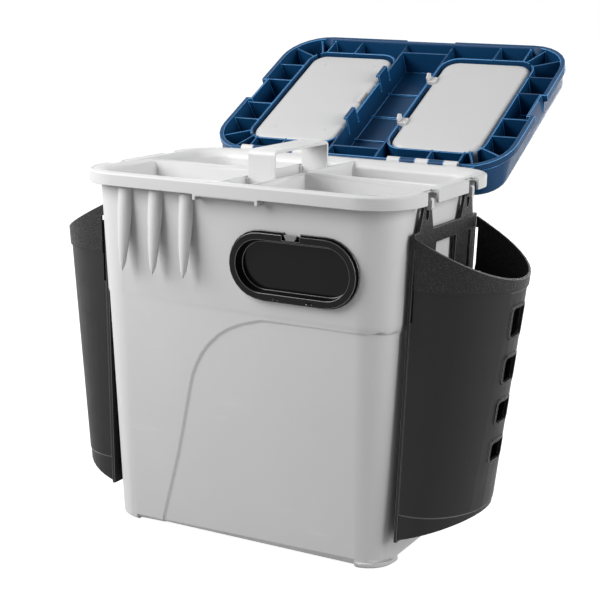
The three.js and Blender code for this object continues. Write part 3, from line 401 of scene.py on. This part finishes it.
def build_mottle_group():
    """Slow unevenness of colour and shine in a big moulding, with faint vertical flow marks."""
    tree, source, sink = group_frame(
        "flow_mottle",
        [("Vector", "NodeSocketVector", None), ("Flow", "NodeSocketFloat", 0.4)],
        ["Mottle", "Shine"],
    )
    vector = source.outputs["Vector"]
    flow_share = source.outputs["Flow"]
    slow = noise_node(tree, vector, COLOUR_CLOUDS, detail=3.0)
    flow = noise_node(tree, stretched(tree, vector, FLOW_MARKS), 1.0)
    mottle = math_node(
        tree, "ADD",
        math_node(tree, "MULTIPLY", flow, flow_share),
        math_node(tree, "MULTIPLY", slow, math_node(tree, "SUBTRACT", 1.0, flow_share)),
    )
    tree.links.new(mottle, sink.inputs["Mottle"])
    shine = noise_node(tree, vector, SHINE_CLOUDS, detail=4.0, roughness=0.6)
    tree.links.new(shine, sink.inputs["Shine"])


def build_scuff_group():
    """Fine handling scratches: thin stretched lines that come and go in patches."""
    tree, source, sink = group_frame(
        "handling_scuffs",
        [("Vector", "NodeSocketVector", None), ("Amount", "NodeSocketFloat", 0.5)],
        ["Scuffs"],
    )
    vector = source.outputs["Vector"]
    lines = []
    for turn, scale in SCRATCHES:
        along = stretched(tree, vector, scale, rotation=(turn, turn * 0.6, turn))
        lines.append(range_node(tree, noise_node(tree, along, 1.0, detail=1.0), *SCRATCH_RANGE))
    patch = range_node(tree, noise_node(tree, vector, SCRATCH_PATCHES), *PATCH_RANGE)
    masked = math_node(tree, "MULTIPLY", math_node(tree, "MAXIMUM", *lines), patch)
    tree.links.new(math_node(tree, "MULTIPLY", masked, source.outputs["Amount"]), sink.inputs["Scuffs"])


# Finishes

WHITE = (1, 1, 1, 1)
PLASTIC_IOR = 1.5
GRAIN_DEPTH = 0.15 * MM

# The pockets' pebbled band: where it starts, the width of its soft start, and its pebbles, whose tops are
# painted paler as a painted glint.
BAND_FOOT = 0.304
BAND_FADE = 0.6 * MM
PEBBLES_PER_METRE = 620.0
PEBBLE_HEIGHT = 7.0
PEBBLE_GLINT_SHARE = 3.4


def shade(colour, factor):
    """A lighter or darker share of a colour."""
    return tuple(min(1.0, c * factor) for c in colour[:3]) + (1.0,)


def placed_group(tree, name, vector, **values):
    """A shared effect placed in a material, with its own values."""
    node = tree.nodes.new("ShaderNodeGroup")
    node.node_tree = bpy.data.node_groups[name]
    tree.links.new(vector, node.inputs["Vector"])
    for label, value in values.items():
        node.inputs[label.replace("_", " ")].default_value = value
    return node


def new_material(name):
    """A new material, its node tree and its shader."""
    material = bpy.data.materials.new(name)
    material.use_nodes = True
    tree = material.node_tree
    return material, tree, next(n for n in tree.nodes if n.type == "BSDF_PRINCIPLED")


def moulded_plastic(name, colour, mottle, rough, pits, bump, scuffs, level=0.5):
    """A coloured moulding: mottled colour, grain as bump, scratches that dull or brighten it.

    Mottle holds the darkest and the lightest share of the colour, and rough its middle and its spread.
    """
    _, tree, shader = new_material(name)
    place = tree.nodes.new("ShaderNodeTexCoord").outputs["Object"]
    cloud = placed_group(tree, "flow_mottle", place, Flow=0.4)
    grain = placed_group(tree, "moulded_grain", place, Pits_per_metre=pits)
    marks = placed_group(tree, "handling_scuffs", place, Amount=scuffs).outputs["Scuffs"]
    dark, light = mottle
    tint = mix_node(tree, "RGBA", cloud.outputs["Mottle"], shade(colour, dark), shade(colour, light))
    worn = mix_node(tree, "RGBA", marks, tint, shade(colour, light * 1.12))
    tree.links.new(worn, shader.inputs["Base Color"])
    middle, spread = rough
    dull = range_node(tree, cloud.outputs["Shine"], 0.25, 0.75, middle - spread, middle + spread)
    scratched = math_node(tree, "ADD", dull, math_node(tree, "MULTIPLY", marks, 0.12), clamp=True)
    tree.links.new(scratched, shader.inputs["Roughness"])
    relief = tree.nodes.new("ShaderNodeBump")
    relief.inputs["Strength"].default_value = bump
    relief.inputs["Distance"].default_value = GRAIN_DEPTH
    tree.links.new(grain.outputs["Height"], relief.inputs["Height"])
    tree.links.new(relief.outputs["Normal"], shader.inputs["Normal"])
    shader.inputs["IOR"].default_value = PLASTIC_IOR
    shader.inputs["Specular IOR Level"].default_value = level
    return tree, shader, relief


def pale_plastics(colours):
    moulded_plastic(
        "tub_pale_grey", colours.tub, mottle=(0.965, 1.03), rough=(0.5, 0.05), pits=1500, bump=0.22,
        scuffs=0.25,
    )
    moulded_plastic(
        "tray_light_grey", colours.tray, mottle=(0.97, 1.03), rough=(0.44, 0.05), pits=1900, bump=0.15,
        scuffs=0.3,
    )
    moulded_plastic(
        "flap_light_grey", colours.flap, mottle=(0.97, 1.03), rough=(0.42, 0.05), pits=1700, bump=0.15,
        scuffs=0.25,
    )


def lid_plastics(colours):
    moulded_plastic(
        "lid_dark_blue", colours.lid, mottle=(0.86, 1.18), rough=(0.36, 0.06), pits=1400, bump=0.16,
        scuffs=0.3, level=0.2,
    )
    # The lid's rounded edges get a painted highlight: a brighter blue than the lid itself.
    moulded_plastic(
        "lid_blue_edges", colours.lid_edge_highlight, mottle=(0.9, 1.12), rough=(0.28, 0.05), pits=1400, bump=0.08,
        scuffs=0.2,
    )


def hatch_plastics(colours):
    moulded_plastic(
        "hatch_gloss_black", colours.hatch, mottle=(0.85, 1.2), rough=(0.16, 0.04), pits=900, bump=0.03,
        scuffs=0.2, level=0.13,
    )
    # The hatch's rounded edges are glossier, and their paler black is a painted highlight.
    moulded_plastic(
        "hatch_gloss_edges", colours.hatch_edge_highlight, mottle=(0.9, 1.1), rough=(0.12, 0.03), pits=900, bump=0.02,
        scuffs=0.1, level=0.8,
    )
    moulded_plastic(
        "tongue_mid_grey", colours.tongue, mottle=(0.95, 1.05), rough=(0.4, 0.04), pits=1500, bump=0.1,
        scuffs=0.1,
    )


def pocket_plastics(colours):
    """Near black with a fine grain below, and a coarser leather-like grain on the band round the mouth,
    whose pebble tops are painted paler as a painted glint.
    """
    # The pockets' rounded edges get a painted highlight: a grey far paler than the near black pocket.
    moulded_plastic(
        "pocket_black_edges", colours.pocket_edge_highlight, mottle=(0.9, 1.15), rough=(0.38, 0.05), pits=1300,
        bump=0.12, scuffs=0.2, level=0.4,
    )
    tree, shader, relief = moulded_plastic(
        "pocket_black", colours.pocket, mottle=(0.8, 1.35), rough=(0.5, 0.06), pits=1300, bump=0.6,
        scuffs=0.3, level=0.2,
    )
    place = tree.nodes.new("ShaderNodeTexCoord").outputs["Object"]
    split = tree.nodes.new("ShaderNodeSeparateXYZ")
    tree.links.new(place, split.inputs["Vector"])
    band = range_node(tree, split.outputs["Z"], BAND_FOOT, BAND_FOOT + BAND_FADE)
    hide = tree.nodes.new("ShaderNodeTexVoronoi")
    hide.feature = "SMOOTH_F1"
    hide.inputs["Scale"].default_value = PEBBLES_PER_METRE
    tree.links.new(place, hide.inputs["Vector"])
    pebble = hide.outputs["Distance"]

    fine = relief.inputs["Height"].links[0].from_socket
    coarse = math_node(tree, "ADD", math_node(tree, "MULTIPLY", pebble, PEBBLE_HEIGHT), fine)
    tree.links.new(mix_node(tree, "FLOAT", band, fine, coarse), relief.inputs["Height"])

    # Painted glint: the pebble tops on the band are painted paler than the pocket.
    painted_glint = math_node(tree, "MULTIPLY", range_node(tree, pebble, 0.35, 0.1), band)
    plain_colour = shader.inputs["Base Color"].links[0].from_socket
    glint_colour = mix_node(tree, "RGBA", painted_glint, plain_colour, shade(colours.pocket, PEBBLE_GLINT_SHARE))
    tree.links.new(glint_colour, shader.inputs["Base Color"])

    plain_rough = shader.inputs["Roughness"].links[0].from_socket
    pebble_rough = range_node(tree, pebble, 0.2, 0.75, 0.34, 0.62)
    tree.links.new(mix_node(tree, "FLOAT", band, plain_rough, pebble_rough), shader.inputs["Roughness"])


def pin_steel(colours):
    """Drawn wire: fine rings along the pin, and a little tarnish."""
    _, tree, shader = new_material("pin_steel")
    place = tree.nodes.new("ShaderNodeTexCoord").outputs["Object"]
    tarnish = placed_group(tree, "flow_mottle", place, Flow=0.2).outputs["Shine"]
    tint = mix_node(tree, "RGBA", tarnish, shade(colours.pin, 0.75), shade(colours.pin, 1.1))
    tree.links.new(tint, shader.inputs["Base Color"])
    drawn = noise_node(tree, stretched(tree, place, WIRE_RINGS), 1.0)
    tree.links.new(range_node(tree, drawn, 0.0, 1.0, 0.22, 0.42), shader.inputs["Roughness"])
    shader.inputs["Metallic"].default_value = 1.0


# Shapes that the copies of the tub and the tray get beyond their CAD nodes

# The tub's outline in metres: half its width, half its depth and its corner at the shoulder, and what they
# lose down to the floor.
TUB_TOP = Vector((0.182, 0.1245, 0.042))
TUB_LOSS = Vector((0.0105, 0.029, 0.008))
TUB_SHOULDER = 0.388

# How deep the arched panel lies in the front, its top edge, and the level step above it.
PANEL_LEVEL = 1.75 * MM
PANEL_DEEPEST = 2.9 * MM
PANEL_TOP = 0.261
PANEL_RAMP = 3.2 * MM
STEP_TOP = 0.2642
STEP_FALL = 4 * MM
ON_THE_SKIN = 0.5 * MM

# Boxes whose edges stay as they are: the flutes, the panel's top round the corner, the pockets' band step.
FLUTE_ZONE = ((-0.18, -0.14, 0.29), (-0.04, -0.11, 0.3875))
CORNER_ZONE = ((0.138, -0.14, 0.254), (0.19, 0.14, 0.262))
BAND_STEP = ((-0.4, -0.2, 0.3), (0.4, 0.2, 0.308))
TUB_SHARP = radians(24)
POCKET_FLATNESS = 50

# The rim's outline in metres, the heights between which a wall's lip opens out over it, and how far inside
# the outline the two walls stand.
RIM = Vector((0.195, 0.1375, 0.055))
LIP_CUTS = (0.392, 0.395, 0.398)
LIP_TOP = 0.4019
TRAY_WALL = (18.6 * MM, 22.4 * MM)
TUB_WALL = (16.6 * MM, 17.9 * MM)


def inset_from(place, half_width, half_depth, corner):
    """How deep a point lies inside a round-cornered outline, and the way out of it from its corner."""
    across = abs(place.x) - half_width + corner
    along = abs(place.y) - half_depth + corner
    outward = Vector((max(across, 0), max(along, 0)))
    return corner - outward.length - min(max(across, along), 0), outward


def tub_outline(height):
    return TUB_TOP - TUB_LOSS * (1 - height / TUB_SHOULDER)


def lowered(place, drop):
    """The place of a point of the outer skin once it has slid down the leaning walls."""
    half = tub_outline(place.z)
    loss = TUB_LOSS * (drop / TUB_SHOULDER)
    x = place.x - (loss.x if abs(place.x) > half.x - half.z else 0) * (1 if place.x > 0 else -1)
    y = place.y - (loss.y if abs(place.y) > half.y - half.z else 0) * (1 if place.y > 0 else -1)
    return Vector((x, y, place.z - drop))


def is_panel_wall(face, levels):
    """Whether a face is part of the low wall that runs round the arched panel."""
    if abs(face.normal.y) > 0.05 or face.center.z > PANEL_TOP or max(levels) > PANEL_DEEPEST:
        return False
    return ON_THE_SKIN <= min(levels) <= PANEL_LEVEL <= max(levels)


def soften_panel(piece):
    """Draws the wall round the arched panel out into a ramp, and the step above it into a faint fall."""
    mesh = piece.data
    insets = [inset_from(vertex.co, *tub_outline(vertex.co.z))[0] for vertex in mesh.vertices]
    slides = {}
    for face in mesh.polygons:
        if not is_panel_wall(face, [insets[i] for i in face.vertices]):
            continue
        for index in face.vertices:
            if insets[index] > PANEL_LEVEL:
                slides.setdefault(index, Vector())
                slides[index] += face.normal
    for index, way in slides.items():
        slide = way.normalized() * PANEL_RAMP
        vertex = mesh.vertices[index]
        vertex.co = lowered(vertex.co + Vector((slide.x, 0, 0)), -slide.z)
    for vertex, inset in zip(mesh.vertices, insets):
        if abs(vertex.co.z - STEP_TOP) < 0.1 * MM and abs(inset) < ON_THE_SKIN:
            vertex.co = lowered(vertex.co, -STEP_FALL)


def cut_wall(mesh, wall, height):
    """Cuts the upright faces of a wall at a height."""
    bpy.ops.object.mode_set(mode="EDIT")
    bpy.ops.mesh.select_all(action="DESELECT")
    bpy.ops.object.mode_set(mode="OBJECT")
    for face in mesh.polygons:
        insets = [inset_from(mesh.vertices[i].co, *RIM)[0] for i in face.vertices]
        upright = abs(face.normal.z) < 0.2
        face.select = upright and min(insets) > wall[0] and min(insets) < wall[1]
    bpy.ops.object.mode_set(mode="EDIT")
    bpy.ops.mesh.bisect(plane_co=(0, 0, height), plane_no=(0, 0, 1))
    bpy.ops.object.mode_set(mode="OBJECT")


def open_lip(piece, wall, reach):
    """Leans the top of a wall outwards, so that it meets the rim in a soft curve."""
    mesh = piece.data
    only(piece)
    bpy.context.tool_settings.mesh_select_mode = (False, False, True)
    for height in LIP_CUTS:
        cut_wall(mesh, wall, height)
    foot = LIP_CUTS[0]
    for vertex in mesh.vertices:
        place = vertex.co
        inset, outward = inset_from(place, *RIM)
        if place.z <= foot or not wall[0] < inset < wall[1]:
            continue
        share = (place.z - foot) / (LIP_TOP - foot)
        step = outward.normalized() * reach * share * share
        place.x += step.x if place.x > 0 else -step.x
        place.y += step.y if place.y > 0 else -step.y


# Pieces


class SEATBOX_OT_finishes(bpy.types.Operator):
    """Makes the shared effects and the finishes of all the pieces."""

    bl_idname = "seatbox.finishes"
    bl_label = "Finishes"

    def execute(self, context):
        colours = context.scene.seatbox_colours
        build_grain_group()
        build_mottle_group()
        build_scuff_group()
        pale_plastics(colours)
        lid_plastics(colours)
        hatch_plastics(colours)
        pocket_plastics(colours)
        pin_steel(colours)
        return {"FINISHED"}


class SEATBOX_OT_tub(bpy.types.Operator):
    """The tub with its rim, arch, flutes and feet."""

    bl_idname = "seatbox.tub"
    bl_label = "Tub"

    def execute(self, context):
        edges = context.scene.seatbox_edges
        piece = merged_copy("tub", "tub_shell", "tub_pale_grey")
        soften_panel(piece)
        open_lip(piece, TUB_WALL, edges.lip)
        round_edges(
            evened(piece), edges.shell, edges.segments, sharp=TUB_SHARP,
            plain_zones=(FLUTE_ZONE, CORNER_ZONE),
        )
        finish_piece(piece, "tub", "tub")
        return {"FINISHED"}


class SEATBOX_OT_tray(bpy.types.Operator):
    """The lift-out tray and its bow handle."""

    bl_idname = "seatbox.tray"
    bl_label = "Tray"

    def execute(self, context):
        edges = context.scene.seatbox_edges
        tray = merged_copy("tray", "tray_moulding", "tray_light_grey")
        open_lip(tray, TRAY_WALL, edges.lip)
        handle = merged_copy("tray_handle", "tray_bow_handle", "tray_light_grey")
        for node, piece in (("tray", tray), ("tray_handle", handle)):
            finish_piece(round_edges(evened(piece), edges.rib, edges.segments), "tray", node)
        return {"FINISHED"}


class SEATBOX_OT_lid(bpy.types.Operator):
    """The ribbed lid and its two flaps."""

    bl_idname = "seatbox.lid"
    bl_label = "Lid and flaps"

    def execute(self, context):
        edges = context.scene.seatbox_edges
        lid = copy_of("lid", "lid_moulding", "lid_dark_blue", "lid_blue_edges")
        finish_piece(round_edges(lid, edges.rib, edges.segments), "lid", "lid")
        for side in ("right", "left"):
            for node, name in (
                (f"flap_{side}", f"flap_pan_{side}"),
                (f"flap_cover_{side}", f"flap_top_{side}"),
            ):
                piece = round_edges(copy_of(node, name, "flap_light_grey"), edges.rib, edges.segments)
                finish_piece(piece, f"flap_{side}", node)
        return {"FINISHED"}


class SEATBOX_OT_hatch(bpy.types.Operator):
    """The front hatch: frame, ring behind the wall and dished door."""

    bl_idname = "seatbox.hatch"
    bl_label = "Hatch"

    def execute(self, context):
        edges = context.scene.seatbox_edges
        for node, name, body in (
            ("hatch_frame", "hatch_bezel", "tub"),
            ("hatch_ring", "hatch_back_ring", "tub"),
            ("hatch_door", "hatch_dished_door", "hatch_door"),
        ):
            piece = copy_of(node, name, "hatch_gloss_black", "hatch_gloss_edges")
            finish_piece(round_edges(piece, edges.gloss, edges.segments), body, node)
        tongue = copy_of("hatch_tongue", "hatch_thumb_tongue", "tongue_mid_grey")
        finish_piece(round_edges(tongue, edges.trim, edges.segments), "tub", "hatch_tongue")
        return {"FINISHED"}


class SEATBOX_OT_pockets(bpy.types.Operator):
    """The two side pockets and the frames they hang on."""

    bl_idname = "seatbox.pockets"
    bl_label = "Pockets"

    def execute(self, context):
        edges = context.scene.seatbox_edges
        for side in ("right", "left"):
            for node, name in (
                (f"pocket_{side}", f"pocket_shell_{side}"),
                (f"pocket_frame_{side}", f"pocket_hanger_{side}"),
            ):
                piece = round_edges(
                    copy_of(node, name, "pocket_black", "pocket_black_edges"), edges.trim, edges.segments,
                    plain_zones=(BAND_STEP,), flatness=POCKET_FLATNESS,
                )
                finish_piece(piece, f"pocket_{side}", node)
        return {"FINISHED"}


class SEATBOX_OT_pins(bpy.types.Operator):
    """Finishes on the pins, which keep their own shape."""

    bl_idname = "seatbox.pins"
    bl_label = "Pins"

    def execute(self, context):
        for node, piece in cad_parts.items():
            if "pin" not in node:
                continue
            steel = node.startswith("lid_pin") or node == "hatch_pin"
            piece.data.materials.clear()
            piece.data.materials.append(bpy.data.materials["pin_steel" if steel else "flap_light_grey"])
            only(piece)
            bpy.ops.object.shade_smooth_by_angle(angle=SMOOTH)
        return {"FINISHED"}


# Stage

FLOOR_SIZE = 24.0
FLOOR_GAP = 0.0002
FLOOR_GREY = (0.32, 0.32, 0.32, 1)
FLOOR_GLOW = 0.93
WORLD_LEVEL = 0.2

# Each lamp's name, place, the point it lights, its size in metres and its watts.
LAMPS = (
    ("left_softbox", (-0.86, -0.8, 1.06), (0, 0, 0.3), (1.0, 1.0), 26.5),
    ("right_softbox", (1.9, 0.05, 1.05), (0, 0, 0.3), (1.0, 1.4), 31),
    ("back_softbox", (-0.5, 2.1, 0.45), (0, 0, 0.2), (1.6, 0.8), 17),
)


def area_lamp(name, place, target, size, watts):
    lamp = bpy.data.lights.new(name, "AREA")
    lamp.shape = "RECTANGLE"
    lamp.size, lamp.size_y = size
    lamp.energy = watts
    holder = bpy.data.objects.new(name, lamp)
    bpy.context.scene.collection.objects.link(holder)
    holder.location = place
    holder.rotation_euler = (Vector(target) - Vector(place)).to_track_quat("-Z", "Y").to_euler()


def seen_directly(tree):
    """1 for rays of the camera, of gloss and of clear materials, 0 for the light on the object."""
    path = tree.nodes.new("ShaderNodeLightPath")
    mirror = math_node(tree, "MAXIMUM", path.outputs["Is Glossy Ray"], path.outputs["Is Transmission Ray"])
    return math_node(tree, "MAXIMUM", path.outputs["Is Camera Ray"], mirror)


def pale_floor():
    """A floor that looks white and keeps the box's shadow."""
    bpy.ops.object.select_all(action="DESELECT")
    bpy.ops.mesh.primitive_plane_add(size=FLOOR_SIZE, location=(0, 0, -FLOOR_GAP))
    floor = bpy.context.object
    floor.name = "floor"
    settled(floor)
    material, tree, shader = new_material("floor_white")
    shader.inputs["Base Color"].default_value = FLOOR_GREY
    shader.inputs["Roughness"].default_value = 0.85
    shader.inputs["Specular IOR Level"].default_value = 0.2
    shader.inputs["Emission Color"].default_value = WHITE
    glow = math_node(tree, "MULTIPLY", seen_directly(tree), FLOOR_GLOW)
    tree.links.new(glow, shader.inputs["Emission Strength"])
    floor.data.materials.append(material)


def plain_world(scene):
    """White where it is seen, and a soft level of light on the box."""
    world = bpy.data.worlds.new("studio")
    scene.world = world
    world.use_nodes = True
    tree = world.node_tree
    back = next(n for n in tree.nodes if n.type == "BACKGROUND")
    back.inputs["Color"].default_value = WHITE
    strength = range_node(tree, seen_directly(tree), 0.0, 1.0, WORLD_LEVEL, 1.0)
    tree.links.new(strength, back.inputs["Strength"])


def photo_camera(scene, settings):
    """The camera at the photograph's angle."""
    back = Vector((
        sin(settings.yaw) * cos(settings.pitch),
        -cos(settings.yaw) * cos(settings.pitch),
        sin(settings.pitch),
    ))
    right = Vector((cos(settings.yaw), sin(settings.yaw), 0))
    up = back.cross(right)
    turned_right = right * cos(settings.roll) + up * sin(settings.roll)
    turned_up = up * cos(settings.roll) - right * sin(settings.roll)
    data = bpy.data.cameras.new("camera")
    data.sensor_width = 36
    data.lens = settings.lens
    camera = bpy.data.objects.new("camera", data)
    scene.collection.objects.link(camera)
    turn = Matrix((turned_right, turned_up, back)).transposed().to_4x4()
    place = Vector(settings.target) + back * settings.distance
    camera.matrix_world = Matrix.Translation(place) @ turn
    scene.camera = camera


class SEATBOX_OT_stage(bpy.types.Operator):
    """Floor, lamps, world and the camera at the photograph's angle."""

    bl_idname = "seatbox.stage"
    bl_label = "Stage"

    def execute(self, context):
        scene = context.scene
        pale_floor()
        plain_world(scene)
        for lamp in LAMPS:
            area_lamp(*lamp)
        photo_camera(scene, scene.seatbox_camera)
        scene.view_settings.view_transform = "Standard"
        return {"FINISHED"}


STEPS = (
    SEATBOX_OT_finishes,
    SEATBOX_OT_tub,
    SEATBOX_OT_tray,
    SEATBOX_OT_lid,
    SEATBOX_OT_hatch,
    SEATBOX_OT_pockets,
    SEATBOX_OT_pins,
    SEATBOX_OT_stage,
)


class SEATBOX_PT_panel(bpy.types.Panel):
    """Lists the steps that build the seat box."""

    bl_idname = "SEATBOX_PT_panel"
    bl_label = "Seat Box"
    bl_space_type = "VIEW_3D"
    bl_region_type = "UI"
    bl_category = "Seat Box"

    def draw(self, context):
        layout = self.layout
        scene = context.scene
        for settings in (scene.seatbox_edges, scene.seatbox_colours, scene.seatbox_camera):
            box = layout.box()
            for name in settings.__annotations__:
                box.prop(settings, name)
        for operator in STEPS:
            layout.operator(operator.bl_idname)


CLASSES = (SeatBoxEdges, SeatBoxColours, SeatBoxCamera, *STEPS, SEATBOX_PT_panel)


def register():
    for item in CLASSES:
        bpy.utils.register_class(item)
    bpy.types.Scene.seatbox_edges = PointerProperty(type=SeatBoxEdges)
    bpy.types.Scene.seatbox_colours = PointerProperty(type=SeatBoxColours)
    bpy.types.Scene.seatbox_camera = PointerProperty(type=SeatBoxCamera)


def unregister():
    del bpy.types.Scene.seatbox_camera
    del bpy.types.Scene.seatbox_colours
    del bpy.types.Scene.seatbox_edges
    for item in reversed(CLASSES):
        bpy.utils.unregister_class(item)


def main():
    register()
    bpy.ops.object.select_all(action="DESELECT")
    bpy.ops.seatbox.finishes()
    bpy.ops.seatbox.tub()
    bpy.ops.seatbox.tray()
    bpy.ops.seatbox.lid()
    bpy.ops.seatbox.hatch()
    bpy.ops.seatbox.pockets()
    bpy.ops.seatbox.pins()
    bpy.ops.seatbox.stage()


if __name__ == "__main__":
    main()
